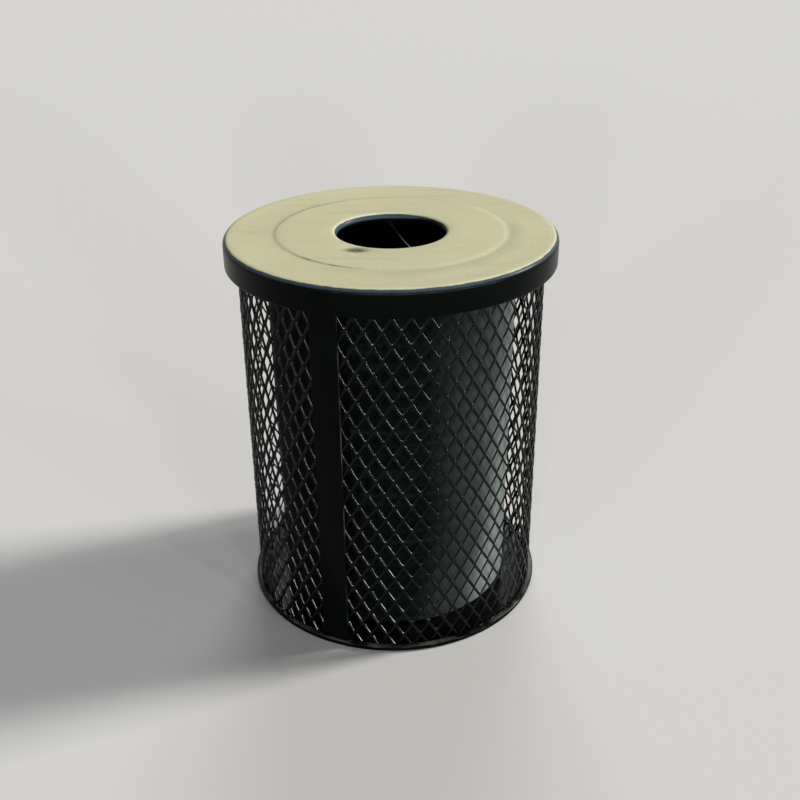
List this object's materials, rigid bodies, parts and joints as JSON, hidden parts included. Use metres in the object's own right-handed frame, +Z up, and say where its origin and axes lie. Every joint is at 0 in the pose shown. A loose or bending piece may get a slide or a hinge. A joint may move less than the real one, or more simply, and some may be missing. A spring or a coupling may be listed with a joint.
{
  "type": "outdoor mesh trash can",
  "caption": "Round outdoor trash can: diamond-mesh metal basket with rings, seam strap and sheet floor, lift-out plastic liner and a flat lift-off lid with a round drop opening.",
  "frame": {"origin": "on the ground under the middle of the basket", "axes": "+Z up, -Y towards the front, +X to the right seen from the front"},
  "size_m": [0.705, 0.705, 0.8502],
  "materials": {
    "mesh_coat": "thick satin thermoplastic coat on steel strands",
    "bar_coat": "thick satin thermoplastic coat on steel bar and sheet",
    "lid_coat": "semi-gloss coat on spun steel, dusty on top",
    "liner_plastic": "satin moulded plastic",
    "cable_coat": "grey coat on wire rope",
    "crimp_metal": "dull"
  },
  "bodies": {
    "basket": {"mesh_panel_01": "mesh_coat", "mesh_panel_02": "mesh_coat", "mesh_panel_03": "mesh_coat", "mesh_panel_04": "mesh_coat", "mesh_panel_05": "mesh_coat", "mesh_panel_06": "mesh_coat", "mesh_panel_07": "mesh_coat", "mesh_panel_08": "mesh_coat", "mesh_panel_09": "mesh_coat", "mesh_panel_10": "mesh_coat", "mesh_panel_11": "mesh_coat", "mesh_panel_12": "mesh_coat", "mesh_panel_13": "mesh_coat", "mesh_panel_14": "mesh_coat", "top_ring": "bar_coat", "bottom_ring": "bar_coat", "seam_strap": "bar_coat", "floor_sheet": "bar_coat"},
    "liner": {"liner": "liner_plastic"},
    "lid": {"lid_pan": "lid_coat", "lid_locators": "lid_coat", "cable_lug_rear": "lid_coat", "cable_lug_front": "lid_coat", "cable_end_rear": "crimp_metal", "cable_end_front": "crimp_metal", "lid_cable": "cable_coat"}
  },
  "joints": [
    {"name": "liner_lift", "type": "slide", "parent": "basket", "child": "liner", "axis": [0, 0, 1], "range_m": [0, 0.84]},
    {"name": "lid_lift", "type": "slide", "parent": "liner", "child": "lid", "axis": [0, 0, 1], "range_m": [0, 0.3]}
  ]
}
